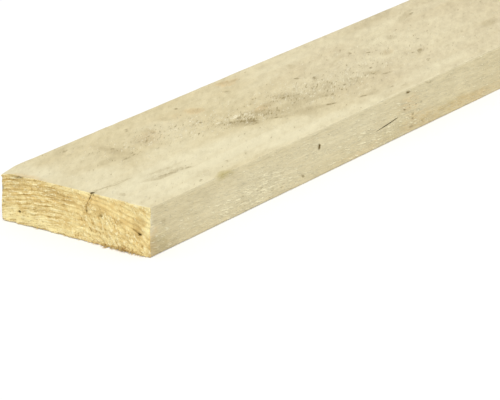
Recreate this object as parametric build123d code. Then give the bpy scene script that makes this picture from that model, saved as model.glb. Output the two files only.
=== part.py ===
from build123d import *

import os

# A rough-sawn softwood board that lies flat, in millimetres.
# Its length runs along X, its width along Y, and its underside is at Z = 0.
# The origin is the middle of the underside. The split end is at -X.

# The sawn section, and the length the board is cut to
board_length = 2000.0
board_width = 100.0
board_thickness = 28.0

# The four long edges, rubbed round by handling
edge_radius = 0.6

# The drying split: open at the end face, and closed again a little way along the top face
split_from_side = 38.3
split_mouth = 0.9
split_depth = 12.4
split_lean = 4.2
split_length = 32.0

# The bruised corner of the split end, at the top of its +Y side
bruise_along = 14.0
bruise_across = 9.0
bruise_drop = 2.0


def end_wedge(end_outline, tip):
    """A solid that tapers from a triangle on the end face to a point."""
    return loft([Face(Wire.make_polygon(end_outline)), Vertex(*tip)])


def sawn_blank():
    """The board as it leaves the saw, with its long edges rubbed round."""
    blank = Box(board_length, board_width, board_thickness, align=(Align.CENTER, Align.CENTER, Align.MIN))
    return fillet(blank.edges().filter_by(Axis.X), edge_radius)


def drying_split():
    """The split's space: a mouth on the top face, a lower edge inside the end, and a tip along the top."""
    end_x = -board_length / 2
    mouth_y = -board_width / 2 + split_from_side
    outline = [
        (end_x, mouth_y - split_mouth / 2, board_thickness),
        (end_x, mouth_y + split_mouth / 2, board_thickness),
        (end_x, mouth_y + split_lean, board_thickness - split_depth),
    ]
    return end_wedge(outline, (end_x + split_length, mouth_y, board_thickness))


def bruised_corner():
    """The sliver that is missing from the top corner of the split end."""
    end_x = -board_length / 2
    side_y = board_width / 2
    outline = [
        (end_x, side_y, board_thickness),
        (end_x, side_y - bruise_across, board_thickness),
        (end_x, side_y, board_thickness - bruise_drop),
    ]
    return end_wedge(outline, (end_x + bruise_along, side_y, board_thickness))


board = sawn_blank() - drying_split() - bruised_corner()

os.makedirs("parts", exist_ok=True)
export_step(board, "parts/board.step")
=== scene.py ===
import itertools
import math

import bpy
import numpy as np
from mathutils import Matrix, Vector


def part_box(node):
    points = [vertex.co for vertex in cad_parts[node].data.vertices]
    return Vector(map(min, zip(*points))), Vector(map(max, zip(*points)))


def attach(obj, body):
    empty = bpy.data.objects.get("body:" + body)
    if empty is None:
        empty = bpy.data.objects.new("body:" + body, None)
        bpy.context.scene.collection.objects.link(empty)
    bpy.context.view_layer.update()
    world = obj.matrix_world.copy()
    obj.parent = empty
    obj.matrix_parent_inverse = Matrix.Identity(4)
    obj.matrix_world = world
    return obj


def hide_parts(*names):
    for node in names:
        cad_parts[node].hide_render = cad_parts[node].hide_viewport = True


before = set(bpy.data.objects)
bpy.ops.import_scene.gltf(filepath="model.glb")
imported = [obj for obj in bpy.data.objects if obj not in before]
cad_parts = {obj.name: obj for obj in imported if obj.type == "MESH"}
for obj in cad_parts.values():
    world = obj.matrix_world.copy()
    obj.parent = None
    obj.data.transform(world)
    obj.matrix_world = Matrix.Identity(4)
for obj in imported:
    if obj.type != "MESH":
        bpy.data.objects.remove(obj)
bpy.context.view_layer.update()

# A rough-sawn softwood board on a pale floor. Lengths are in millimetres, but in metres from the stage on.
# X runs along the board, Y across it and Z up. "From end" is measured along X from the split end.

MM = 0.001
board_low, board_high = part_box("board")
LENGTH, WIDTH, THICK = (board_high - board_low) / MM
SPLIT_END = board_low.x / MM
SOUND_END = board_high.x / MM
NEAR_SIDE = board_low.y / MM
FAR_SIDE = board_high.y / MM

# Growth rings: the log's centre lies under the board, and the wide faces are cut across the rings
PITH_Y = 5.0
PITH_Z = -136.0
RING_WIDTH = 2.75
LOG_TAPER = 0.006
RING_ARC = -1.15 * PITH_Z  # about a ring's length for each radian round the log's centre
RING_WANDER_SIZE = (260.0, 40.0, 40.0)

# How far the saw's marks lean along the board for each millimetre across it
SAW_MARK_LEAN = 0.25

# The long edges and the end edges, rubbed round
EDGE_RADIUS = 0.5
END_BEVEL = 0.4
FLAT_SIDE = WIDTH / 2 - EDGE_RADIUS
FLAT_TOP = THICK - EDGE_RADIUS

# How the mesh's lines are spaced, as (place, step from there to the next place), where the last place only
# ends the line. Rows also lie wherever two strips of the bake's layout meet.
ROW_STEPS = (
    (END_BEVEL, 0.5), (5.0, 0.9), (80.0, 1.5), (400.0, 4.0), (420.0, 5.0), (480.0, 15.0), (667.0, 15.0),
    (1210.0, 15.0), (1334.0, 15.0), (1990.0, 3.0), (1999.6, 0.0),
)
TOP_STEPS = ((FLAT_SIDE, 1.4), (12.0, 1.0), (-8.0, 0.6), (-15.0, 0.9), (-30.0, 1.4), (-FLAT_SIDE, 0.0))
NEAR_STEPS = ((FLAT_TOP, 1.0), (20.0, 0.6), (8.0, 0.9), (EDGE_RADIUS, 0.0))
BOTTOM_STEPS = ((-FLAT_SIDE, 4.0), (FLAT_SIDE, 0.0))
FAR_STEPS = ((EDGE_RADIUS, 1.8), (FLAT_TOP, 0.0))
SPLIT_END_STEP = 0.42
SOUND_END_STEP = 1.2
SHARP_ANGLE = 28.0  # degrees
SKIN = 1.0  # a point that lies no deeper than this below a face counts as on it
TOLERANCE = 0.01

# Large soft stains, as soft-edged ovals on the top, the near side and the split end, with a few spots of
# painted light and shade among them, noted where they stand. Each spot is given as (along, across,
# half length, half width, degrees turned, strength), where along is from the split end, or Y on the end
# face, and across is Y on the top and Z on the others.
STAINS_AND_PAINTED_LIGHT = {
    "pale": {
        "top": (
            (40, -30, 55, 26, 0, 0.95), (95, -26, 60, 17, -8, 0.9), (150, -40, 60, 14, -8, 0.85),
            (215, -47, 60, 7, -4, 0.6), (90, 0, 22, 6, 0, 0.6), (22, 2, 20, 10, 0, 0.5),
            (10, 34, 14, 17, 0, 0.6), (6, 10, 14, 50, 0, 0.45), (38, 24, 16, 10, 0, 0.3),
            (112, 14, 26, 17, 0, 0.4), (112, 32, 12, 6, 0, 0.4), (90, 20, 12, 7, 0, 0.25),
            (265, 42, 60, 10, 0, 0.4), (300, -42, 50, 8, 0, 0.45), (350, 0, 75, 60, 0, 0.35),
            (240, -4, 60, 14, 0, 0.3), (235, 32, 50, 7, 12, 0.35), (345, 25, 35, 6, 16, 0.35),
        ),
        "side": (
            (100, 12, 55, 14, 0, 0.5), (200, 20, 45, 8, 0, 0.3), (215, 16, 170, 22, 0, 0.35),
            (0, 19, 2, 9, 0, 0.6),
        ),
        "end": (
            (28, 4, 22, 4, 6, 0.9), (5, 3.5, 7, 3, 0, 0.6), (-18, 3.5, 24, 2.5, 2, 0.65),
            (42, 2, 9, 4, 0, 0.9), (-22, 14.5, 3.5, 2.5, 0, 0.35), (32, 8, 10, 3, 0, 0.4),
            # (-50, 19) is a painted highlight down the edge between the end and the near side
            (15, 12, 9, 3, 0, 0.3), (-43.5, 22, 2.2, 3, 0, 0.4), (-50, 19, 2.4, 9, 0, 0.9),
            (34, 28.3, 15, 1.4, 0, 1), (-2, 28.3, 8, 0.7, 0, 0.6), (-46, 28, 5, 3, 0, 0.8),
        ),
    },
    "dirt_and_shade": {
        "top": (
            # (16, -11.4) darkens along the split, partly as painted shade of the split
            (16, -11.4, 16, 1.2, -4, 0.5), (48, -25.2, 18, 1.8, -10, 0.6),
            (54, -19.8, 9, 1.3, -9, 0.35), (54, -21, 22, 7, -6, 0.25), (63, -40, 13, 9, 0, 0.22),
            (187, -24, 13, 12, -20, 0.35), (265, 42, 60, 10, 0, 0.12), (365, 45, 45, 8, 8, 0.3),
            (64, 22, 6, 13, 0, 0.5), (48, 12, 13, 5, 0, 0.3), (47, 43, 9, 4, 10, 0.4),
            (90, 20, 12, 7, 25, 0.4), (103, 27, 5, 4, 0, 0.35), (126, 33, 7, 4, 0, 0.3),
            (148, -7.5, 12, 6, -18, 0.72), (152, -11, 5, 3, -20, 0.55), (171, -8, 13, 8, -32, 0.65),
            (184, 0, 5, 4, 0, 0.4), (168, -19, 7, 3, -25, 0.5), (203, -2, 7, 8, 30, 0.5),
            (200, -27, 15, 3, -13, 0.45), (198, -13, 13, 4.5, -5, 0.4), (149, 27, 6, 4, 0, 0.3),
            (256, 12, 10, 5, 10, 0.25), (215, -17, 7, 2.5, 0, 0.45), (224, -7, 42, 13, -8, 0.25),
            (236, -8, 6, 4, 0, 0.3), (241, 5, 6, 2, 25, 0.35), (255, -15, 5, 6, 60, 0.35),
            (244, -30, 12, 3, -8, 0.15), (272, -18, 7, 5, 0, 0.45), (240, -38, 16, 2.5, -8, 0.3),
            (327, -16, 9, 3, 25, 0.3), (311, -1, 7, 5, 30, 0.38), (252, 30, 6, 3, 45, 0.4),
            (207.5, 42, 7, 3, -10, 0.42), (280, 15, 22, 1.6, 18, 0.3), (392, 34, 18, 3, 15, 0.4),
            (335, 21.5, 34, 2, 7, 0.25), (375, 11, 22, 1.8, 10, 0.2), (408, -18, 10, 5, 10, 0.45),
            (343, 14, 6, 3.5, 0, 0.35), (348, -21.5, 5, 2, 20, 0.3), (262, -44.5, 5, 1.6, 0, 0.4),
            (8, -24.5, 3, 2, 0, 0.4),
        ),
        "side": (
            (11, 17.5, 4, 4, 0, 0.35), (8, 3, 22, 7, 0, 0.4),
        ),
        "end": (
            (36, 23, 12, 3.5, -4, 0.35), (17, 23.5, 10, 3, -4, 0.75), (3, 23, 8, 2.5, -4, 0.5),
            # (-9.8, 21.5) and (-8.5, 18) darken along the split, partly as painted shade of the split
            (30, 14, 7, 2, -10, 0.2), (37, 28, 7, 1, -3, 1), (-9.8, 21.5, 1, 6, 8, 0.8),
            (-8.5, 18, 3, 6, 0, 0.4), (-50, 4, 2, 4, 0, 0.3), (46, 18, 4, 3.5, 0, 0.45),
            (46, 8, 4, 2.5, 0, 0.35), (-20, 18, 10, 3.5, 0, 0.45), (-43, 15, 4.5, 4, 0, 0.85),
            # (-22, 0.6) and (-33, 1) are brown torn fibre with partly painted shade at the foot, among the
            # slivers
            (-22, 0.6, 4, 1.6, 0, 0.7), (-33, 1, 4, 2.2, 0, 0.8),
        ),
    },
    "orange": {
        "top": (
            (127, 25, 26, 22, 0, 0.14), (55, 30, 50, 22, 0, 0.1), (149, 27, 6, 5, 0, 0.5),
            (134, 30, 4, 4, 0, 0.1), (205, 42, 11, 4.5, 0, 0.5), (176, -1.5, 10, 4.5, 12, 0.5),
            (95, 19, 14, 8, 20, 0.25), (315, 0, 10, 5, 20, 0.2), (0, 32, 4, 16, 0, 0.5),
        ),
        "side": (
            (0, 5, 6, 12, 0, 0.6), (259, 18, 12, 8, 0, 0.3), (210, 2, 40, 4, 0, 0.22),
            (275, 4, 26, 6, 0, 0.38), (328, 3, 30, 5, 0, 0.36), (385, 4, 25, 6, 0, 0.2),
        ),
        "end": (
            (-14, 20, 7, 6, 0, 0.5), (-28, 26.5, 6, 2, -8, 0.7), (-42, 4, 5, 3, 0, 0.3),
        ),
    },
    "olive": {
        "top": (
            (69, -50, 6.5, 2.2, 0, 0.85),
        ),
        "side": (
            (68.5, 26.7, 7.5, 2.4, 0, 1), (300, 3, 60, 9, 0, 0.25), (6, 5, 16, 9, 0, 0.3),
            (240, 6, 16, 9, 0, 0.15),
        ),
    },
    "speckle": {
        "top": (
            (52, 26, 30, 18, 0, 0.25), (90, 18, 25, 12, 15, 0.4), (125, 12, 45, 16, -10, 0.6),
            (155, -5, 22, 10, -15, 1), (225, -6, 60, 22, -6, 0.75), (310, 0, 60, 30, 0, 0.4),
        ),
        "side": (
            (28, 9, 26, 12, 0, 0.2), (98, 8, 42, 9, 0, 1), (150, 10, 30, 12, 0, 0.4),
            (220, 8, 40, 14, 0, 0.6), (262, 10, 20, 14, 0, 0.5),
        ),
    },
    "smeared": {
        "end": (
            (-20, 23, 13, 6, 0, 0.9), (-38, 17, 8, 6, 0, 0.9), (-2, 20, 6, 6, 0, 0.5),
            (-48, 12, 4, 14, 0, 0.5),
        ),
    },
}

# How strong each kind of stain is where the board has no spots of its own, and where that starts. Each
# kind takes two noise seeds, counted from the first one.
FAINT = {"pale": 0.7, "dirt_and_shade": 0.35, "orange": 0.2, "olive": 0.15, "speckle": 0.6, "smeared": 0.0}
FAINT_FROM = 380.0
FAINT_FULL = 480.0
FAINT_SEED = 40

# Small dark marks and soft streaks, as spots too. Those on the end are pits, darkened partly as painted
# shade.
PIT_DEPTH = 0.9
MARKS = {
    "top": (
        (145.5, 37.8, 2.2, 1, 20, 0.7), (47.5, 43, 4, 1.3, 10, 0.45), (190, 33, 3.2, 2, -30, 0.35),
        (236, 14, 2.4, 1.1, 25, 0.55), (243, 6.3, 4.2, 1.1, 25, 0.42), (298, 17, 4, 1.4, 30, 0.5),
        (306.5, 8.5, 2.4, 1.3, 15, 0.5), (329, -15, 6.5, 1.6, 28, 0.45), (323, -13.5, 1.8, 1, 0, 0.4),
        (206.5, -29.3, 4.6, 1.1, -20, 0.5), (1.4, -11.3, 1.6, 0.95, 0, 1), (60, 8.2, 9, 1.3, 6, 0.36),
        (46, -24.8, 9, 1.1, -10, 0.34), (61, -27.4, 9, 1.1, -7, 0.34), (52, -45.5, 3.2, 1, 25, 0.4),
        (70.5, -37.5, 2, 0.8, 25, 0.35), (87, -39, 2.2, 1, 25, 0.5), (103, -39, 2, 0.9, 25, 0.3),
        (88, 17, 3.4, 1.7, 25, 0.36), (102, 22.5, 3.8, 1.4, 25, 0.38), (96, 37, 5, 1.6, 25, 0.34),
        (143, -2, 2.6, 1, 20, 0.5), (148, -5, 2.2, 1, 20, 0.4), (153.5, -1, 3.4, 1.3, 20, 0.6),
        (153.5, -11.2, 4.4, 1.3, -32, 0.45), (144, -11.4, 9, 1.1, -8, 0.2),
        (166, -17.5, 8, 0.9, -45, 0.36), (242.5, -15, 2.2, 0.8, 20, 0.6), (218.5, -18, 3.2, 1, 25, 0.4),
        (271.5, -17, 2.8, 1, -15, 0.4), (278.2, -23, 7, 1.1, -8, 0.38), (291, -25, 2.2, 1, 25, 0.35),
        (316, -28.7, 4, 1.2, 28, 0.5), (396, 32, 6, 1.2, 20, 0.35), (66.5, 24.3, 1.8, 1.2, 20, 0.5),
        (114.5, 19.5, 2, 1.2, 25, 0.5), (133, 11.8, 2.6, 1.2, 25, 0.5), (198.7, -0.7, 3, 1.2, 25, 0.5),
        (278.7, -3.9, 3.2, 1, 20, 0.4), (280.7, -9.9, 2.6, 1, 15, 0.35),
        (256.3, -40.1, 2.6, 1, 25, 0.4), (230.3, -36.1, 4.6, 1, -18, 0.42),
        (380, -14.5, 3.2, 1.2, 25, 0.3),
    ),
    "side": (
        (162.3, 17.9, 1.8, 1.25, 80, 1), (146, 4.4, 2, 1, -30, 0.75), (258.5, 25.7, 2.4, 0.9, -5, 0.85),
        (260.3, 16.5, 0.8, 2, 0, 0.5), (254.7, 15.2, 1.5, 0.8, 0, 0.55), (267.5, 16, 0.9, 0.7, 0, 0.4),
        (273.7, 15.5, 2.1, 0.8, -10, 0.45), (264.5, 9.9, 1.4, 0.8, 0, 0.6),
        (264.2, 7.5, 1.4, 0.8, 0, 0.5), (262.5, 3.4, 3, 0.9, 0, 0.4), (275, 3.8, 2.2, 1, 0, 0.3),
        (282, 26.2, 7.5, 0.9, -11, 0.32),
    ),
    "end": (
        (-42.8, 11.6, 1.15, 0.9, 0, 1), (-39.9, 12.8, 2.2, 0.6, 25, 0.5), (38, 7, 1.2, 0.7, 0, 1),
        (48.5, 10.8, 0.9, 0.6, 0, 0.7), (49.3, 18.5, 0.8, 1.4, 0, 0.5), (-17.4, 16.6, 1.1, 0.8, 0, 0.6),
        (-9.6, 19.8, 0.8, 1, 0, 0.4), (11.2, 23.3, 0.9, 0.7, 0, 0.4), (-9.7, 17.2, 0.6, 1.4, 0, 0.46),
        (29.7, 4, 0.7, 0.5, 0, 0.4), (-5, 7.4, 1.1, 0.5, 0, 0.4), (-9.7, 25.4, 0.7, 1.2, 10, 0.7),
        (38.5, 26.6, 4.5, 0.8, -3, 0.52),
    ),
}

# The drying split: its line along the top as (from end, Y), and up the end face as (Z, Y)
SPLIT_TOP_LINE = ((0.0, -11.1), (14.0, -11.4), (26.0, -12.0), (32.0, -12.4))
SPLIT_END_LINE = ((15.6, -7.5), (17.0, -7.7), (21.0, -7.8), (23.3, -9.3), (26.3, -10.3), (28.0, -11.3))
SPLIT_HALF_MOUTH = 0.45
SPLIT_NOTCH = 2.2
SPLIT_CLOSING = 6.0

# The shallow split in the near side, with its line as (from end, Z)
SIDE_SPLIT_LINE = ((220.5, 10.0), (233.0, 11.2), (249.0, 12.9))
SIDE_SPLIT_DEPTH = 1.2
SIDE_SPLIT_HALF_MOUTH = 0.5
SIDE_SPLIT_OPENING = 14.0
SIDE_SPLIT_CLOSING = 5.0

# How the mesh follows a split: how far to each side its lines bend, and how far past a tip they take
# to run straight again. The end face's split bends the line at END_SPLIT_COLUMN.
TOP_BEND = 5.0
SIDE_BEND = 6.0
END_BEND = 8.0
LONG_RUNOUT = 30.0
END_RUNOUT = 8.0
END_SPLIT_COLUMN = -9.6
SMALLEST_LIP = 0.12

# The bruised corners of the split end's far side: how far each reaches along, across and up or down
TOP_BRUISE = (14.0, 9.0, 2.0)
LOW_BRUISE = (6.0, 3.5, 1.0)


def srgb(red, green, blue):
    """A colour given as 0 to 255 in sRGB, as Blender's linear colour."""
    values = [value / 255 for value in (red, green, blue)]
    return tuple(v / 12.92 if v <= 0.04045 else ((v + 0.055) / 1.055) ** 2.4 for v in values) + (1.0,)


def smooth(value, low, high):
    """0 below low, 1 above high, and a smooth rise between."""
    part = np.clip((value - low) / (high - low), 0.0, 1.0)
    return part * part * (3.0 - 2.0 * part)


def lattice(cell, seed):
    """One repeatable number from 0 to 1 for each whole-numbered cell."""
    mixed = cell[..., 0] * 374761393 + cell[..., 1] * 668265263
    mixed = mixed + cell[..., 2] * 2147483629 + seed * 974634777
    mixed = ((mixed ^ (mixed >> 13)) * 1274126177) & 0xFFFFFFFFFFFF
    mixed = mixed ^ (mixed >> 16)
    return (mixed & 0xFFFFFF) / 0xFFFFFF


def noise(points, size, seed):
    """Smooth noise from -1 to 1, with lumps of the given size along each axis; each seed has its own."""
    place = points / np.asarray(size, float)
    cell = np.floor(place).astype(np.int64)
    part = place - cell
    part = part * part * (3.0 - 2.0 * part)
    total = np.zeros(points.shape[:-1])
    for corner in itertools.product((0, 1), repeat=3):
        weight = np.prod(np.where(corner, part, 1.0 - part), axis=-1)
        total += weight * lattice(cell + np.array(corner), seed)
    return 2.0 * total - 1.0


def positions(steps):
    """Places along a line, spaced by each stretch's own step."""
    parts = []
    for (start, step), (stop, _) in zip(steps, steps[1:]):
        count = max(1, round(abs(stop - start) / step))
        parts.append(np.linspace(start, stop, count, endpoint=False))
    return np.concatenate(parts + [[steps[-1][0]]])


def line_at(line, place):
    """How far across a bent line, given by its (along, across) points, lies at each place along it."""
    along, across = zip(*line)
    return np.interp(place, along, across)


# The mesh


def section_outline():
    """The section as (y, z, normal y, normal z) rows, and how many each face and its corner take.

    Seen from the split end, the rows go clockwise from the top left.
    """
    faces = [
        [(y, THICK, 0.0, 1.0) for y in positions(TOP_STEPS)],
        [(NEAR_SIDE, z, -1.0, 0.0) for z in positions(NEAR_STEPS)],
        [(y, 0.0, 0.0, -1.0) for y in positions(BOTTOM_STEPS)],
        [(FAR_SIDE, z, 1.0, 0.0) for z in positions(FAR_STEPS)],
    ]
    slant = math.sqrt(0.5)
    inset = EDGE_RADIUS * (1.0 - slant)
    corners = [
        (NEAR_SIDE + inset, THICK - inset, -slant, slant),
        (NEAR_SIDE + inset, inset, -slant, -slant),
        (FAR_SIDE - inset, inset, slant, -slant),
        (FAR_SIDE - inset, THICK - inset, slant, slant),
    ]
    rows = []
    for face, corner in zip(faces, corners):
        rows += face + [corner]
    return np.array(rows), [len(face) + 1 for face in faces]


def ring_radius(points):
    """The distance from the log's centre line, with the log's taper and slow wander."""
    across = np.hypot(points[..., 1] - PITH_Y, points[..., 2] - PITH_Z)
    return across + LOG_TAPER * points[..., 0] + 1.2 * noise(points, RING_WANDER_SIZE, 11)


def ring_ridge(points):
    """1 on the hard late wood of each ring and 0 on the soft early wood."""
    phase = (ring_radius(points) / RING_WIDTH) % 1.0
    return smooth(phase, 0.35, 0.85) * (1.0 - smooth(phase, 0.93, 1.0))


def long_face_relief(points):
    """How far the sawn faces stand out: the saw's slow waves, its cross marks and torn fibres."""
    waves = 0.22 * noise(points, (150.0, 70.0, 70.0), 1)
    leaning = points @ np.array([[1, 0, 0], [SAW_MARK_LEAN, 1, 0], [SAW_MARK_LEAN, 0, 1]])
    marks = 0.05 * noise(leaning, (4.5, 60.0, 60.0), 2)
    lumps = 0.07 * noise(points, (10.0, 3.5, 3.5), 3)
    fibres = 0.07 * noise(points, (26.0, 1.5, 1.5), 4)
    return waves + marks + lumps + fibres + 0.05 * ring_ridge(points)


def end_relief(points):
    """How far the torn end grain stands out, in lumps drawn out along the rings."""
    around = RING_ARC * np.arctan2(points[..., 1] - PITH_Y, points[..., 2] - PITH_Z)
    polar = np.stack([around, ring_radius(points), points[..., 0]], -1)
    torn = 0.26 * noise(polar, (6.0, 1.1, 9.0), 5) + 0.16 * noise(polar, (1.6, 0.9, 9.0), 6)
    return torn + 0.12 * ring_ridge(points) + 0.2 * noise(points, (9.0, 9.0, 9.0), 7)


def worn_edge(points, distance):
    """How far an edge is rubbed and chipped back, at a distance from it."""
    chips = 0.15 + 0.5 * noise(points, (2.6, 2.6, 2.6), 8) + 0.35 * noise(points, (9.0, 9.0, 9.0), 9)
    return np.clip(chips, 0.0, 1.0) * (1.0 - smooth(distance, 0.0, 1.8))


def bruise_depth(points, bruise):
    """How much of a bruised corner is missing above or below each point."""
    along, across, drop = bruise
    from_end = points[..., 0] - SPLIT_END
    from_side = FAR_SIDE - points[..., 1]
    return drop * np.clip(1.0 - from_end / along - from_side / across, 0.0, 1.0)


def bruise_corners(points):
    """Moves what stands outside the two bruised corners' slanting faces onto them."""
    top = THICK - bruise_depth(points, TOP_BRUISE)
    points[..., 2] = np.where(points[..., 2] > THICK / 2, np.minimum(points[..., 2], top), points[..., 2])
    low = bruise_depth(points, LOW_BRUISE)
    points[..., 2] = np.where(low > 0.0, np.maximum(points[..., 2], low), points[..., 2])


def open_split(grid, column, axis, normal, line, bent, opened, half_mouth, depth, reach):
    """Bends a grid's columns so that one follows a split's line, then parts its neighbours and sinks it.

    The line runs down the column and is given as a place on the axis for each row. From 0 to 1, bent
    says how closely a row follows it, and opened how far the split gapes there.
    """
    home = grid[:, column, axis].copy()
    near = np.clip(1.0 - np.abs(grid[..., axis] - home[:, None]) / reach, 0.0, 1.0)
    level = np.abs((grid - grid[:, column][:, None]) @ normal) < SKIN
    grid[..., axis] += ((line - home) * bent)[:, None] * near * level
    middle = grid[:, column, axis]
    for side in (-1, 1):
        gap = grid[:, column + side, axis] - middle
        lip = np.sign(gap) * np.maximum(half_mouth, SMALLEST_LIP)
        grid[:, column + side, axis] = middle + gap * (1.0 - opened) + lip * opened
    grid[:, column] -= normal * (depth * opened)[:, None]


def open_top_split(grid, nominal, crevice_shade, outline, from_end):
    """The drying split along the top, from its mouth at the end face to its tip."""
    top = np.flatnonzero(outline[:, 3] == 1.0)
    column = top[np.argmin(np.abs(outline[top, 0] - SPLIT_TOP_LINE[0][1]))]
    tip = SPLIT_TOP_LINE[-1][0]
    bent = 1.0 - smooth(from_end, tip, tip + LONG_RUNOUT)
    opened = 1.0 - smooth(from_end, tip - SPLIT_CLOSING, tip)
    closing = np.clip(1.0 - from_end / tip, 0.0, 1.0)
    line = line_at(SPLIT_TOP_LINE, from_end) + 0.25 * noise(nominal[:, column], (2.2, 9.0, 9.0), 21)
    mouth = SPLIT_HALF_MOUTH * (0.3 * closing + 0.7 * np.exp(-from_end / 2.5))
    up = np.array([0.0, 0.0, 1.0])
    open_split(grid, column, 1, up, line, bent, opened, mouth, SPLIT_NOTCH * closing, TOP_BEND)
    grid[:, column, 0] = np.maximum(grid[:, column, 0], SPLIT_END + SPLIT_NOTCH)
    # How dark the split's painted shade is, darkest at its mouth
    crevice_shade[:, column] = opened * (0.2 + 0.8 * np.exp(-((from_end / 3.0) ** 2)))


def open_side_split(grid, nominal, crevice_shade, outline, from_end):
    """The shallow split in the near side, closed at both of its ends."""
    side = np.flatnonzero(outline[:, 2] == -1.0)
    column = side[np.argmin(np.abs(outline[side, 1] - SIDE_SPLIT_LINE[1][1]))]
    start, stop = SIDE_SPLIT_LINE[0][0], SIDE_SPLIT_LINE[-1][0]
    before = smooth(from_end, start - LONG_RUNOUT, start)
    after = smooth(from_end, stop, stop + LONG_RUNOUT)
    bent = before * (1.0 - after)
    opening = smooth(from_end, start, start + SIDE_SPLIT_OPENING)
    closing = smooth(from_end, stop - SIDE_SPLIT_CLOSING, stop)
    opened = opening * (1.0 - closing)
    line = line_at(SIDE_SPLIT_LINE, from_end) + 0.15 * noise(nominal[:, column], (3.0, 9.0, 9.0), 22)
    mouth = SIDE_SPLIT_HALF_MOUTH * opened
    outward = np.array([0.0, -1.0, 0.0])
    open_split(grid, column, 2, outward, line, bent, opened, mouth, SIDE_SPLIT_DEPTH, SIDE_BEND)
    # The split's painted shade
    crevice_shade[:, column] = np.maximum(crevice_shade[:, column], opened)


def board_tube(outline):
    """The four long faces as a grid, the same grid before its relief, and how dark each point's painted
    crevice shade is.
    """
    from_end = positions(ROW_STEPS)
    grid = np.empty((len(from_end), len(outline), 3))
    grid[..., 0] = SPLIT_END + from_end[:, None]
    grid[..., 1:] = outline[:, :2]
    normals = np.concatenate([np.zeros((len(outline), 1)), outline[:, 2:]], 1)
    nominal = grid.copy()
    to_end = np.minimum(from_end, LENGTH - from_end)[:, None]
    relief = long_face_relief(nominal) * smooth(to_end, 0.0, 1.5)
    grid += normals * (relief - worn_edge(nominal, to_end))[..., None]
    crevice_shade = np.zeros(grid.shape[:2])
    open_top_split(grid, nominal, crevice_shade, outline, from_end)
    open_side_split(grid, nominal, crevice_shade, outline, from_end)
    bruise_corners(grid)
    return grid, nominal, crevice_shade


def end_cap(end_x, outward, step):
    """An end face inside its bevel as a grid, and the same grid before its relief.

    Its rows go from the top down and its columns from +Y to -Y.
    """
    half_width = WIDTH / 2 - END_BEVEL
    columns = round(2 * half_width / step)
    rows = round((THICK - 2 * END_BEVEL) / step)
    across = np.linspace(half_width, -half_width, columns + 1)
    height = np.linspace(THICK - END_BEVEL, END_BEVEL, rows + 1)
    grid = np.empty((rows + 1, columns + 1, 3))
    grid[..., 0] = end_x
    grid[..., 1] = across
    grid[..., 2] = height[:, None]
    nominal = grid.copy()
    to_edge = np.minimum(half_width - np.abs(across)[None], np.minimum(height, THICK - height)[:, None])
    grid[..., 0] += outward * (end_relief(nominal) - worn_edge(nominal, to_edge))
    return grid, nominal


def split_end_cap():
    """The split end's face as board_tube gives the long ones, with its split, pits and bruised corners."""
    grid, nominal = end_cap(SPLIT_END, -1.0, SPLIT_END_STEP)
    pits = {"end": MARKS["end"]}
    grid[..., 0] += PIT_DEPTH * stain_amount(nominal, pits, lump=1.0, raggedness=0.4)
    height = nominal[:, 0, 2]
    column = int(np.argmin(np.abs(nominal[0, :, 1] - END_SPLIT_COLUMN)))
    lowest = SPLIT_END_LINE[0][0]
    closing = np.clip((height - lowest) / (THICK - lowest), 0.0, 1.0)
    bent = smooth(height, lowest - END_RUNOUT, lowest)
    opened = smooth(height, lowest - 1.0, lowest + 1.5)
    line = line_at(SPLIT_END_LINE, height) + 0.3 * noise(nominal[:, column], (9.0, 9.0, 1.3), 23)
    mouth = SPLIT_HALF_MOUTH * (0.25 + 0.35 * closing ** 3)
    outward = np.array([-1.0, 0.0, 0.0])
    open_split(grid, column, 1, outward, line, bent, opened, mouth, 0.5 + SPLIT_NOTCH * closing, END_BEND)
    grid[:, column, 2] = np.minimum(grid[:, column, 2], THICK - SPLIT_NOTCH)
    crevice_shade = np.zeros(grid.shape[:2])
    # The split's painted shade on the end face
    crevice_shade[:, column] = opened * (0.45 + 0.2 * closing)
    bruise_corners(grid)
    return grid, nominal, crevice_shade


def numbered(shape, first):
    """The numbers of a grid's points, counted from first along its rows."""
    return first + np.arange(shape[0] * shape[1]).reshape(shape)


def border(shape, first):
    """The numbers of the points around a grid's border, clockwise from its first corner."""
    index = numbered(shape, first)
    return np.concatenate([index[0, :-1], index[:-1, -1], index[-1, :0:-1], index[:0:-1, 0]])


def way_round(points):
    """How far round a closed loop each of its points lies, from 0 to 1."""
    steps = np.linalg.norm(np.roll(points, -1, 0) - points, axis=1)
    return np.concatenate([[0.0], np.cumsum(steps)]) / steps.sum()


def stitch(outer, inner, points):
    """Triangles that join two closed loops of points, both clockwise from the same corner."""
    outer_way, inner_way = way_round(points[outer]), way_round(points[inner])
    faces, i, j = [], 0, 0
    while i < len(outer) or j < len(inner):
        if j == len(inner) or (i < len(outer) and outer_way[i + 1] <= inner_way[j + 1]):
            faces.append((outer[(i + 1) % len(outer)], outer[i % len(outer)], inner[j % len(inner)]))
            i += 1
        else:
            faces.append((inner[j % len(inner)], inner[(j + 1) % len(inner)], outer[i % len(outer)]))
            j += 1
    return faces


def grid_quads(shape, first, around):
    """The four-cornered faces of a grid of points; around joins its last column to its first."""
    index = numbered(shape, first)
    following = np.roll(index, -1, 1) if around else index[:, 1:]
    index = index if around else index[:, :-1]
    quads = np.stack([index[:-1], following[:-1], following[1:], index[1:]], -1)
    return quads.reshape(-1, 4)


# The bake's layout: where each stretch of the board lies on a square picture

PICTURE = 1024
GAP = 5
END_SCALE = 4.6
# (long face, from and to along the board, picture pixels for each mm), from the picture's top down, with
# the faces numbered in section_outline's order
STRIPS = (
    (0, 0, 420, 2.0), (1, 0, 420, 2.0),
    (0, 420, 1210, 1.0), (0, 1210, 2000, 1.0), (1, 420, 1210, 1.0), (1, 1210, 2000, 1.0),
    (2, 0, 667, 1.15), (2, 667, 1334, 1.15), (2, 1334, 2000, 1.15),
    (3, 0, 667, 1.15), (3, 667, 1334, 1.15), (3, 1334, 2000, 1.15),
)


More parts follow.
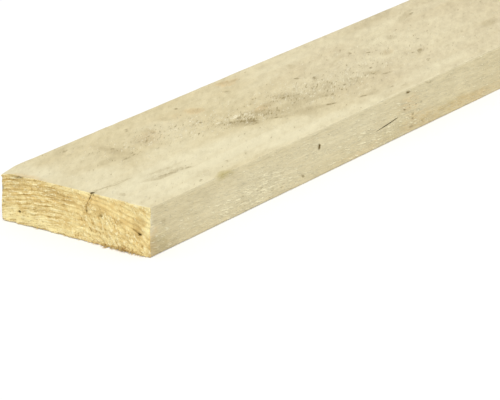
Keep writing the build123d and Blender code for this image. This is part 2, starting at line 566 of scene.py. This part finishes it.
def long_face_places(quads, nominal, outline, counts):
    """Places on the picture for the corners of the long faces' quads."""
    columns = len(outline)
    steps = np.linalg.norm(np.roll(outline[:, :2], -1, 0) - outline[:, :2], axis=1)
    way = np.concatenate([[0.0], np.cumsum(steps)[:-1]])
    face_of_column = np.repeat(np.arange(4), counts)
    # Each face starts at the corner that ends the face before it
    corner_column = np.roll(np.cumsum(counts) - 1, 1)
    column = quads % columns
    face = face_of_column[(column[:, 0] + 1) % columns]
    across = (way[column] - way[corner_column][face][:, None]) % steps.sum()
    along = nominal[quads, 0] - SPLIT_END
    middle = along.mean(1)
    places = np.zeros(quads.shape + (2,))
    top = GAP
    for strip_face, start, stop, scale in STRIPS:
        here = (face == strip_face) & (middle >= start) & (middle < stop)
        places[here, :, 0] = GAP + (along[here] - start) * scale
        places[here, :, 1] = top + across[here] * scale
        top += across[here].max() * scale + GAP
    return places


def end_places(corners, number):
    """Places on the picture for points on an end face, drawn upright at the picture's right."""
    left = PICTURE - GAP - THICK * END_SCALE
    top = GAP + number * (WIDTH * END_SCALE + 2 * GAP)
    across = left + corners[..., 2] * END_SCALE
    down = top + (FAR_SIDE - corners[..., 1]) * END_SCALE
    return np.stack([across, down], -1)


# The stains in the mesh


def on_face(points, face):
    """Each point's two coordinates on a face, as a spot gives them, and whether the point is on it."""
    from_end, across, height = points[..., 0] - SPLIT_END, points[..., 1], points[..., 2]
    if face == "top":
        return from_end, across, height > THICK - SKIN
    if face == "side":
        return from_end, height, across < NEAR_SIDE + SKIN
    return across, height, from_end < SKIN


def spot_amount(along, across, half_long, half_wide, turn, strength):
    """How strongly one spot stains points that lie so far along and across from its middle."""
    cos, sin = math.cos(math.radians(turn)), math.sin(math.radians(turn))
    reach = ((along * cos + across * sin) / half_long) ** 2
    reach += ((across * cos - along * sin) / half_wide) ** 2
    return strength * np.exp(-(reach ** 1.5))


def stain_amount(points, spots, lump, raggedness):
    """How strongly each face's spots stain each point, from 0 to 1, with edges ragged by lumpy noise."""
    clear = np.ones(points.shape[:-1])
    nudges = [raggedness * noise(points, (2 * lump, lump, lump), seed) for seed in (31, 32)]
    for face, rows in spots.items():
        along, across, present = on_face(points, face)
        along = along + nudges[0]
        across = across + nudges[1]
        for spot_along, spot_across, *oval in rows:
            clear *= 1.0 - spot_amount(along - spot_along, across - spot_across, *oval) * present
    return 1.0 - clear


def faint_stains(points, seed):
    """Slow, uneven staining for the underside, the far side and the length that has no spots of its own."""
    slow = noise(points, (240.0, 30.0, 30.0), seed) + 0.5 * noise(points, (90.0, 14.0, 14.0), seed + 1)
    beyond = smooth(points[:, 0] - SPLIT_END, FAINT_FROM, FAINT_FULL)
    hidden = smooth(-points[:, 2], -THICK / 2, 0.0) * (points[:, 1] > NEAR_SIDE + SKIN)
    return smooth(slow, -0.3, 1.1) * np.maximum(beyond, hidden)


# Pieces


def new_piece(name, vertices, faces, materials, face_materials=None):
    """A mesh object in metres from points in millimetres."""
    mesh = bpy.data.meshes.new(name)
    mesh.from_pydata((np.asarray(vertices) * MM).tolist(), [], faces)
    for material in materials:
        mesh.materials.append(material)
    if face_materials is not None:
        mesh.polygons.foreach_set("material_index", face_materials)
    mesh.polygons.foreach_set("use_smooth", np.ones(len(faces), bool))
    mesh.update()
    piece = bpy.data.objects.new(name, mesh)
    bpy.context.collection.objects.link(piece)
    return piece


def paint(mesh, name, amount):
    """Gives each of the mesh's points a number that a material can read by name."""
    mesh.attributes.new(name, "FLOAT", "POINT").data.foreach_set("value", amount.astype(np.float32))


def paint_board(mesh, nominal, crevice_shade):
    """Paints what the board's materials read: the painted shade in its crevices, its narrow sides, its
    marks and its stains.
    """
    paint(mesh, "crevice_shade", crevice_shade)
    paint(mesh, "side", np.abs(nominal[:, 1]) > WIDTH / 2 - TOLERANCE)
    paint(mesh, "mark", stain_amount(nominal, MARKS, lump=1.5, raggedness=0.7))
    for number, (name, spots) in enumerate(STAINS_AND_PAINTED_LIGHT.items()):
        amount = stain_amount(nominal, spots, lump=5.0, raggedness=3.0)
        faint = FAINT[name] * faint_stains(nominal, FAINT_SEED + 2 * number)
        paint(mesh, name, np.maximum(amount, faint))


def joined(*grids):
    """The points of several grids, one after the other."""
    return np.concatenate([grid.reshape(-1, 3) for grid in grids])


def build_board():
    """The whole board as one closed mesh, with its stains and its picture layout."""
    outline, counts = section_outline()
    tube, tube_nominal, tube_crevice_shade = board_tube(outline)
    split_cap, split_nominal, split_crevice_shade = split_end_cap()
    sound_cap, sound_nominal = end_cap(SOUND_END, 1.0, SOUND_END_STEP)
    sound_crevice_shade = np.zeros(sound_cap.shape[:2])
    points = joined(tube, split_cap, sound_cap)
    nominal = joined(tube_nominal, split_nominal, sound_nominal)
    crevice_shade = np.concatenate([grid.ravel() for grid in (tube_crevice_shade, split_crevice_shade, sound_crevice_shade)])

    split_first = tube[..., 0].size
    sound_first = split_first + split_cap[..., 0].size
    long_quads = grid_quads(tube.shape[:2], 0, True)
    split_quads = grid_quads(split_cap.shape[:2], split_first, False)[:, ::-1]
    sound_quads = grid_quads(sound_cap.shape[:2], sound_first, False)
    first_ring = np.arange(len(outline))
    last_ring = first_ring + (tube.shape[0] - 1) * len(outline)
    split_seam = np.array(stitch(first_ring, border(split_cap.shape[:2], split_first), nominal))
    sound_seam = np.array(stitch(last_ring, border(sound_cap.shape[:2], sound_first), nominal))[:, ::-1]

    faces = []
    places = [long_face_places(long_quads, tube_nominal.reshape(-1, 3), outline, counts).reshape(-1, 2)]
    for number, group in ((0, split_quads), (0, split_seam), (1, sound_quads), (1, sound_seam)):
        places.append(end_places(nominal[group], number).reshape(-1, 2))
    for group in (long_quads, split_quads, split_seam, sound_quads, sound_seam):
        faces += group.tolist()
    is_end = np.arange(len(faces)) >= len(long_quads)
    piece = new_piece("sawn_board", points, faces, (sawn_face(), end_grain()), is_end.astype(np.int32))

    mesh = piece.data
    mesh.set_sharp_from_angle(angle=math.radians(SHARP_ANGLE))
    places = np.concatenate(places) / PICTURE
    places[:, 1] = 1.0 - places[:, 1]
    mesh.uv_layers.new(name="OFBake").uv.foreach_set("vector", places.astype(np.float32).ravel())
    paint_board(mesh, nominal, crevice_shade)
    return piece


# The torn slivers at the foot of the split end

SLIVER_SEED = 8
SLIVER_SIDES = 3
SLIVER_RINGS = 5
SLIVER_ROOT = 1.0
SLIVER_TAPER = 0.8
SLIVER_FLATNESS = 0.45
SLIVER_SIDE_ROOM = 0.6
SLIVER_FLOOR_ROOM = 0.3
# (Y, spread along Y, height, number, length)
SLIVERS = (
    (-22.0, 1.8, 0.7, 26, 2.8), (-28.0, 2.2, 0.5, 14, 2.2), (-33.0, 1.8, 0.9, 30, 3.2),
    (-38.5, 2.0, 0.6, 14, 2.4), (-44.5, 2.4, 0.5, 18, 2.4), (-14.0, 4.0, 0.4, 12, 1.8),
    (4.0, 9.0, 0.3, 14, 1.3), (30.0, 10.0, 0.2, 12, 1.2),
)


def sliver(root, way, length, width, random):
    """One torn sliver: a flat strip that bends a little and narrows to its tip."""
    bend = random.normal(0.0, 0.2, 3)
    rings = []
    for part in np.linspace(0.0, 1.0, SLIVER_RINGS):
        middle = root + length * part * (way + bend * part)
        middle[1] = np.clip(middle[1], NEAR_SIDE + SLIVER_SIDE_ROOM, FAR_SIDE - SLIVER_SIDE_ROOM)
        middle[2] = max(middle[2], SLIVER_FLOOR_ROOM)
        angles = np.arange(SLIVER_SIDES) * 2 * math.pi / SLIVER_SIDES
        spread = width * (1.0 - SLIVER_TAPER * part ** 2)
        ring = np.stack([0.0 * angles, np.cos(angles), SLIVER_FLATNESS * np.sin(angles)], -1)
        rings.append(middle + spread * ring)
    return np.concatenate(rings)


def build_slivers():
    """All the slivers that the saw left, as one piece."""
    random = np.random.default_rng(SLIVER_SEED)
    bodies = []
    for centre, spread, height, number, length in SLIVERS:
        for _ in range(number):
            place_z = SLIVER_FLOOR_ROOM + abs(random.normal(0.0, height))
            root = np.array([SPLIT_END + SLIVER_ROOT, random.normal(centre, spread), place_z])
            way = np.array([-1.0, random.normal(0.0, 0.4), random.normal(-0.05, 0.15)])
            way /= np.linalg.norm(way)
            reach = SLIVER_ROOT + length * random.uniform(0.3, 1.0)
            bodies.append(sliver(root, way, reach, random.uniform(0.2, 0.55), random))
    points = np.concatenate(bodies)
    quads = grid_quads((SLIVER_RINGS, SLIVER_SIDES), 0, True)[:, ::-1]
    size = SLIVER_RINGS * SLIVER_SIDES
    ends = [tuple(range(SLIVER_SIDES)), tuple(range(size - SLIVER_SIDES, size))[::-1]]
    faces = []
    for number in range(len(bodies)):
        faces += (quads + number * size).tolist()
        faces += [tuple(corner + number * size for corner in end) for end in ends]
    return new_piece("torn_slivers", points, faces, (torn_sliver(),))


# The materials

CREAM = srgb(236, 226, 190)
BEIGE = srgb(221, 207, 166)
GREY_BEIGE = srgb(218, 204, 168)
LATE_WOOD = srgb(206, 186, 140)
# Dirt, and partly painted shade along the split
DIRT_AND_SHADE = srgb(180, 164, 124)
ORANGE = srgb(222, 192, 140)
OLIVE = srgb(190, 176, 118)
# Light torn fibres, partly painted highlight
PALE_FIBRE_AND_HIGHLIGHT = srgb(246, 236, 202)
SIDE_FIBRE_AND_HIGHLIGHT = srgb(250, 240, 202)
# Dark specks, partly painted relief shade
SPECK_AND_RELIEF_SHADE = srgb(146, 128, 80)
# Dark marks, partly painted shade in the end's pits
MARK_AND_PIT_SHADE = srgb(114, 92, 36)
# Near black, for painted shade in the splits, holes and pits
HOLE_SHADE = srgb(34, 22, 4)
END_EARLY = srgb(242, 222, 160)
END_LATE = srgb(198, 166, 98)
# Pale torn grain, partly painted highlight
END_PALE_AND_HIGHLIGHT = srgb(255, 242, 192)
END_STRAW = srgb(253, 239, 180)
END_BROWN = srgb(186, 152, 88)
END_ORANGE = srgb(232, 202, 134)
# Dark torn grain, partly painted shade
END_TORN_AND_SHADE = srgb(172, 134, 66)
SLIVER_BROWN = srgb(204, 168, 102)

# Where, from the split end, the top turns greyer and the plain wood's figure is at its clearest
GREY_FROM = 150.0
GREY_FULL = 300.0
FIGURE_FULL = 500.0

# How far the torn marks lean on the top, the sides and the ends, in degrees
TOP_LEAN = -27.0
SIDE_DIP = -8.0
END_LEAN = 28.0


class Nodes:
    """A short way to add shader nodes to a material or to the world."""

    def __init__(self, owner):
        owner.use_nodes = True
        self.owner = owner
        self.tree = owner.node_tree
        self.tree.nodes.clear()

    def add(self, kind, inputs=None, **settings):
        """A new node, each of its inputs set to a value or joined to another node's output."""
        node = self.tree.nodes.new("ShaderNode" + kind)
        for name, value in settings.items():
            setattr(node, name, value)
        for key, value in (inputs or {}).items():
            if isinstance(value, bpy.types.NodeSocket):
                self.tree.links.new(value, node.inputs[key])
            else:
                node.inputs[key].default_value = value
        return node

    def math(self, operation, first, second=0.0, clamp=False):
        return self.add("Math", {0: first, 1: second}, operation=operation, use_clamp=clamp).outputs[0]

    def vector(self, operation, first, second):
        return self.add("VectorMath", {0: first, 1: second}, operation=operation).outputs["Vector"]

    def scaled(self, vector, factor):
        return self.add("VectorMath", {0: vector, "Scale": factor}, operation="SCALE").outputs["Vector"]

    def turned(self, vector, axis, angle):
        return self.add("VectorRotate", {"Vector": vector, "Angle": angle}, rotation_type=axis).outputs[0]

    def attribute(self, name):
        return self.add("Attribute", attribute_name=name).outputs["Fac"]

    def rise(self, value, low, high):
        """0 at low, 1 at high, and smooth between; low may be above high."""
        inputs = {"Value": value, "From Min": low, "From Max": high}
        return self.add("MapRange", inputs, interpolation_type="SMOOTHSTEP").outputs["Result"]

    def noise(self, place, size, detail=2.0, roughness=0.5):
        """Noise around 0, mostly within 0.25 of it, with lumps of the given size along each axis."""
        inputs = {"Vector": self.vector("DIVIDE", place, size), "Scale": 1.0, "Detail": detail}
        found = self.add("TexNoise", inputs | {"Roughness": roughness}).outputs[0]
        return self.math("SUBTRACT", found, 0.5)

    def mix(self, factor, first, second):
        """Two colours mixed. The node's inputs 6 and 7 and its output 2 are its sockets for colours."""
        return self.add("Mix", {0: factor, 6: first, 7: second}, data_type="RGBA").outputs[2]

    def weighted(self, *pairs):
        """The sum of values, each times its own weight."""
        total = 0.0
        for value, weight in pairs:
            total = self.add("Math", {0: value, 1: weight, 2: total}, operation="MULTIPLY_ADD").outputs[0]
        return total

    def rings(self, place):
        """The distance from the log's centre line, and the late wood of each growth ring."""
        wander = self.noise(place, RING_WANDER_SIZE)
        offset = self.vector("MULTIPLY", self.vector("SUBTRACT", place, (0, PITH_Y, PITH_Z)), (0, 1, 1))
        across = self.add("VectorMath", {0: offset}, operation="LENGTH").outputs["Value"]
        along = self.add("SeparateXYZ", {0: place}).outputs["X"]
        radius = self.weighted((across, 1.0), (along, LOG_TAPER), (wander, 3.0))
        phase = self.math("FRACT", self.math("DIVIDE", radius, RING_WIDTH))
        late = self.math("MULTIPLY", self.rise(phase, 0.3, 0.85), self.rise(phase, 1.0, 0.92))
        return radius, late

    def stain(self, colour, name, tint, amount, breakup):
        """The colour with a painted stain over it, its edge broken up by a noise."""
        cover = self.weighted((self.attribute(name), amount), (breakup, 1.3 * amount))
        cover = self.math("MULTIPLY", cover, self.rise(self.attribute(name), 0.02, 0.3), clamp=True)
        return self.mix(cover, colour, tint)

    def darkened(self, colour, breakup):
        """The colour with the small marks over it and painted shade in its crevices and holes, and how dark
        they are.
        """
        mark = self.weighted((self.attribute("mark"), 1.0), (breakup, 1.1))
        mark = self.math("MULTIPLY", mark, self.rise(self.attribute("mark"), 0.03, 0.3), clamp=True)
        # Painted shade: near black in the splits and where the marks are strongest, in holes and pits
        hole_shade = self.math("MAXIMUM", self.rise(mark, 0.75, 1.0), self.attribute("crevice_shade"))
        colour = self.mix(self.rise(mark, 0.0, 0.9), colour, MARK_AND_PIT_SHADE)
        return self.mix(hole_shade, colour, HOLE_SHADE), self.math("MAXIMUM", mark, hole_shade)

    def finish(self, colour, roughness, height):
        """Ends the material: a matt surface with bumps of the given height in millimetres."""
        bump = self.add("Bump", {"Height": height, "Distance": MM, "Strength": 1.0})
        inputs = {"Base Color": colour, "Roughness": roughness, "Normal": bump.outputs[0]}
        shader = self.add("BsdfPrincipled", inputs | {"Specular IOR Level": 0.1})
        self.add("OutputMaterial", {"Surface": shader.outputs[0]})
        return self.owner

    def sees_background(self):
        """1 for the rays that find the white background: from the camera, off gloss or through glass."""
        rays = self.add("LightPath").outputs
        seen = self.math("MAXIMUM", rays["Is Camera Ray"], rays["Is Glossy Ray"])
        return self.math("MAXIMUM", seen, rays["Is Transmission Ray"])

    def place(self):
        """Where a point is on the board, in millimetres."""
        return self.scaled(self.add("TexCoord").outputs["Object"], 1.0 / MM)


def sawn_face():
    """The sawn long faces: cream and beige wood with stains, faint rings, and torn fibres and specks partly
    painted as light and shade.
    """
    nodes = Nodes(bpy.data.materials.new("sawn_face"))
    place = nodes.place()
    late = nodes.rings(place)[1]
    side = nodes.rise(nodes.attribute("side"), 0.4, 0.6)
    lean = nodes.weighted((side, -math.radians(TOP_LEAN)), (1.0, math.radians(TOP_LEAN)))
    dip = nodes.math("MULTIPLY", side, math.radians(SIDE_DIP))
    turned = nodes.turned(nodes.turned(place, "Z_AXIS", lean), "Y_AXIS", dip)
    fibre = nodes.noise(place, (16.0, 0.6, 0.6), 3.0, 0.6)
    cloud = nodes.noise(place, (40.0, 15.0, 15.0), 3.0, 0.55)
    patch = nodes.noise(turned, (11.0, 4.5, 4.5), 3.0, 0.6)
    mottle = nodes.noise(turned, (5.0, 1.6, 1.3), 2.0, 0.6)
    grit = nodes.noise(turned, (5.0, 0.9, 0.7), 1.0, 0.6)
    saw = nodes.noise(turned, (70.0, 2.6, 2.6), 1.0)
    speckle = nodes.attribute("speckle")
    dirt_and_shade = nodes.attribute("dirt_and_shade")
    along = nodes.add("SeparateXYZ", {0: place}).outputs["X"]

    # The plain wood, its rings and its stains
    nudge = nodes.weighted((cloud, 1.0), (patch, 0.6), (mottle, 0.4))
    nudge = nodes.math("MULTIPLY", nudge, nodes.weighted((side, -0.45), (1.0, 1.0)))
    pale = nodes.math("ADD", nodes.attribute("pale"), nodes.math("ADD", nudge, 0.08), clamp=True)
    grey = nodes.rise(along, SPLIT_END + GREY_FROM, SPLIT_END + GREY_FULL)
    grey = nodes.math("SUBTRACT", grey, side, clamp=True)
    colour = nodes.mix(pale, nodes.mix(grey, BEIGE, GREY_BEIGE), CREAM)
    plain = nodes.rise(along, SPLIT_END + FAINT_FROM, SPLIT_END + FIGURE_FULL)
    figure = nodes.math("MULTIPLY", late, nodes.rise(fibre, -0.15, 0.2))
    figure = nodes.math("MULTIPLY", figure, nodes.weighted((plain, 0.3), (1.0, 0.2)))
    colour = nodes.mix(figure, colour, LATE_WOOD)
    # The dirt stain is also partly painted shade along the split
    for name, tint, amount in (("orange", ORANGE, 0.9), ("olive", OLIVE, 0.8), ("dirt_and_shade", DIRT_AND_SHADE, 0.9)):
        colour = nodes.stain(colour, name, tint, amount, mottle)

    # Dark specks and light torn fibres, partly painted shade and highlight on the same lumps as the bump
    # below
    strokes = nodes.math("MULTIPLY", nodes.weighted((grit, 0.45), (mottle, -0.5)), side)
    rough = nodes.weighted((grit, 0.65), (mottle, 0.88), (strokes, 1.0))
    dark = nodes.weighted((rough, 1.0), (speckle, -0.14), (dirt_and_shade, -0.08), (side, 0.11))
    dark = nodes.rise(dark, -0.18, -0.39)
    light = nodes.weighted((rough, 1.0), (speckle, 0.17), (side, 0.025))
    light = nodes.rise(light, 0.17, 0.3)
    specks_and_relief_shade = nodes.math("MULTIPLY", dark, nodes.weighted((dirt_and_shade, 0.3), (1.0, 0.57)))
    colour = nodes.mix(specks_and_relief_shade, colour, SPECK_AND_RELIEF_SHADE)
    light = nodes.math("MULTIPLY", light, nodes.weighted((side, 0.15), (dirt_and_shade, -0.5), (1.0, 0.78)))
    colour = nodes.mix(light, colour, nodes.mix(side, PALE_FIBRE_AND_HIGHLIGHT, SIDE_FIBRE_AND_HIGHLIGHT))

    # Slow shading, the small marks, the painted shade of the splits and holes, and the relief
    lines = nodes.math("MULTIPLY", fibre, nodes.weighted((side, 0.3), (1.0, 0.14)))
    dashes = nodes.math("MULTIPLY", grit, side)
    shade = nodes.weighted((patch, 0.34), (lines, 1.0), (dashes, 0.12), (mottle, 0.16), (saw, 0.1))
    tone = nodes.math("ADD", nodes.math("MULTIPLY", shade, nodes.weighted((pale, -0.35), (1.0, 1.0))), 1.0)
    colour, sunk = nodes.darkened(nodes.scaled(colour, tone), mottle)
    height = nodes.weighted((lines, 0.55), (mottle, 0.4), (light, 0.25), (dark, -0.15), (sunk, -0.4))
    return nodes.finish(colour, 0.8, height)


def end_grain():
    """The cross-cut ends: honey-coloured grain, drawn out along the rings and torn upright in places, its
    torn strokes partly painted highlight and shade.
    """
    nodes = Nodes(bpy.data.materials.new("end_grain"))
    place = nodes.place()
    radius, late = nodes.rings(place)
    parts = nodes.add("SeparateXYZ", {0: place}).outputs
    across = nodes.math("SUBTRACT", parts["Y"], PITH_Y)
    angle = nodes.math("ARCTAN2", across, nodes.math("SUBTRACT", parts["Z"], PITH_Z))
    around = nodes.math("MULTIPLY", angle, RING_ARC)
    polar = nodes.add("CombineXYZ", {"X": around, "Y": radius, "Z": parts["X"]}).outputs[0]
    drawn = nodes.noise(polar, (6.0, 0.95, 9.0), 2.0, 0.6)
    leaning = nodes.turned(place, "X_AXIS", math.radians(END_LEAN))
    upright = nodes.noise(leaning, (9.0, 1.7, 3.4), 2.0, 0.6)
    grit = nodes.noise(place, (1.3, 1.1, 1.0), 2.0, 0.7)
    lumps = nodes.noise(place, (12.0, 4.0, 2.6))
    cloud = nodes.noise(place, (30.0, 14.0, 7.0))
    ringed = nodes.rise(nodes.weighted((parts["Y"], 0.02), (cloud, 1.5)), -0.35, 0.45)

    # The torn grain, along the rings where ringed is 1 and upright where it is 0
    torn = nodes.mix(ringed, upright, drawn)
    torn = nodes.add("SeparateColor", {0: torn}).outputs["Red"]
    rows = nodes.math("MULTIPLY", nodes.math("SUBTRACT", late, 0.4), ringed)
    torn = nodes.weighted((torn, 1.0), (grit, 0.55), (rows, -0.06))
    torn = nodes.math("MULTIPLY", torn, nodes.weighted((nodes.attribute("smeared"), -0.7), (1.0, 1.0)))

    # The wood's rings and stains, with the torn grain over them
    lines = nodes.math("MULTIPLY", late, nodes.rise(drawn, 0.25, -0.1))
    lines = nodes.math("MULTIPLY", lines, nodes.weighted((ringed, 0.45), (1.0, 0.1)))
    colour = nodes.mix(nodes.rise(lumps, -0.2, 0.2), END_ORANGE, END_EARLY)
    colour = nodes.mix(lines, colour, END_LATE)
    colour = nodes.stain(colour, "pale", END_STRAW, 0.7, cloud)
    colour = nodes.stain(colour, "orange", END_ORANGE, 0.8, cloud)
    # The dirt stain is also partly painted shade along the split and at the foot
    colour = nodes.stain(colour, "dirt_and_shade", END_BROWN, 0.7, drawn)
    # The torn grain's pale and dark strokes, partly painted highlight and shade on the same lumps as its
    # bump
    light = nodes.rise(torn, 0.03, 0.17)
    dark = nodes.rise(torn, -0.07, -0.22)
    colour = nodes.mix(nodes.math("MULTIPLY", light, 0.8), colour, END_PALE_AND_HIGHLIGHT)
    dark = nodes.math("MULTIPLY", dark, nodes.weighted((ringed, -0.03), (1.0, 0.68)))
    colour = nodes.mix(dark, colour, END_TORN_AND_SHADE)
    tone = nodes.weighted((cloud, 0.22), (lumps, 0.22), (grit, 0.12), (1.0, 1.0))
    colour, sunk = nodes.darkened(nodes.scaled(colour, tone), grit)
    height = nodes.weighted((torn, 1.1), (late, 0.1), (sunk, -0.3))
    return nodes.finish(colour, 0.85, height)


def torn_sliver():
    """The slivers at the foot of the split end, brown and straw-coloured."""
    nodes = Nodes(bpy.data.materials.new("torn_sliver"))
    shade = nodes.noise(nodes.place(), (2.0, 2.2, 1.2))
    colour = nodes.mix(nodes.rise(shade, -0.2, 0.2), SLIVER_BROWN, END_EARLY)
    return nodes.finish(colour, 0.9, nodes.math("MULTIPLY", shade, 0.2))


# The stage, with its lengths in metres

FLOOR_SIZE = 12.0
FLOOR_DROP = 0.0002
FLOOR_COLOUR = (0.9, 0.9, 0.9, 1.0)
FLOOR_GLOW = 0.13
WHITE = (1.0, 1.0, 1.0, 1.0)
SKY_LIGHT = 0.56
LAMP_LIGHT = 1.75
LAMP_SPREAD = 18.0
LAMP_FROM = (-0.5, -0.3, 0.81)


def make_floor():
    """A wide pale floor that the camera sees as white, with the board's soft shadow on it."""
    mesh = bpy.data.meshes.new("floor")
    half = FLOOR_SIZE / 2
    corners = [(x, y, -FLOOR_DROP) for x, y in ((-half, -half), (half, -half), (half, half), (-half, half))]
    mesh.from_pydata(corners, [], [(0, 1, 2, 3)])
    nodes = Nodes(bpy.data.materials.new("pale_floor"))
    shader = nodes.add("BsdfDiffuse", {"Color": FLOOR_COLOUR}).outputs[0]
    glow = nodes.add("Emission", {"Color": WHITE, "Strength": FLOOR_GLOW}).outputs[0]
    both = nodes.add("AddShader", {0: shader, 1: glow}).outputs[0]
    seen = nodes.add("MixShader", {0: nodes.sees_background(), 1: shader, 2: both}).outputs[0]
    nodes.add("OutputMaterial", {"Surface": seen})
    mesh.materials.append(nodes.owner)
    floor = bpy.data.objects.new("floor", mesh)
    bpy.context.collection.objects.link(floor)


def light_scene():
    """Even white light from all round, and one broad lamp from above the split end."""
    nodes = Nodes(bpy.data.worlds.new("studio"))
    strength = nodes.weighted((nodes.sees_background(), 1.0 - SKY_LIGHT), (1.0, SKY_LIGHT))
    sky = nodes.add("Background", {"Color": WHITE, "Strength": strength})
    nodes.add("OutputWorld", {"Surface": sky.outputs[0]})
    bpy.context.scene.world = nodes.owner
    sun = bpy.data.lights.new("key", "SUN")
    sun.energy = LAMP_LIGHT
    sun.angle = math.radians(LAMP_SPREAD)
    lamp = bpy.data.objects.new("key", sun)
    lamp.rotation_euler = Vector(LAMP_FROM).to_track_quat("Z", "Y").to_euler()
    bpy.context.collection.objects.link(lamp)


# The camera, with its place in metres, its angles in degrees and its lens in pixels of the photograph

CAMERA_PLACE = (-2.20696, -0.93017, 0.56476)
CAMERA_AZIMUTH = -55.90
CAMERA_ELEVATION = 19.60
CAMERA_ROLL = 0.72
FOCAL_PIXELS = 3030.0
PHOTO_WIDTH = 500


def place_camera():
    """The camera at the photograph's viewing angle."""
    turn, rise, roll = (math.radians(a) for a in (CAMERA_AZIMUTH, CAMERA_ELEVATION, CAMERA_ROLL))
    back = Vector((math.sin(turn) * math.cos(rise), -math.cos(turn) * math.cos(rise), math.sin(rise)))
    right = Vector((math.cos(turn), math.sin(turn), 0.0))
    up = back.cross(right)
    right, up = math.cos(roll) * right + math.sin(roll) * up, math.cos(roll) * up - math.sin(roll) * right
    data = bpy.data.cameras.new("camera")
    data.lens = FOCAL_PIXELS * data.sensor_width / PHOTO_WIDTH
    camera = bpy.data.objects.new("camera", data)
    camera.matrix_world = Matrix.Translation(CAMERA_PLACE) @ Matrix((right, up, back)).transposed().to_4x4()
    bpy.context.collection.objects.link(camera)
    bpy.context.scene.camera = camera


board = build_board()
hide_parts("board")
for piece in (board, build_slivers()):
    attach(piece, "root")
make_floor()
light_scene()
place_camera()
bpy.context.scene.view_settings.view_transform = "Standard"
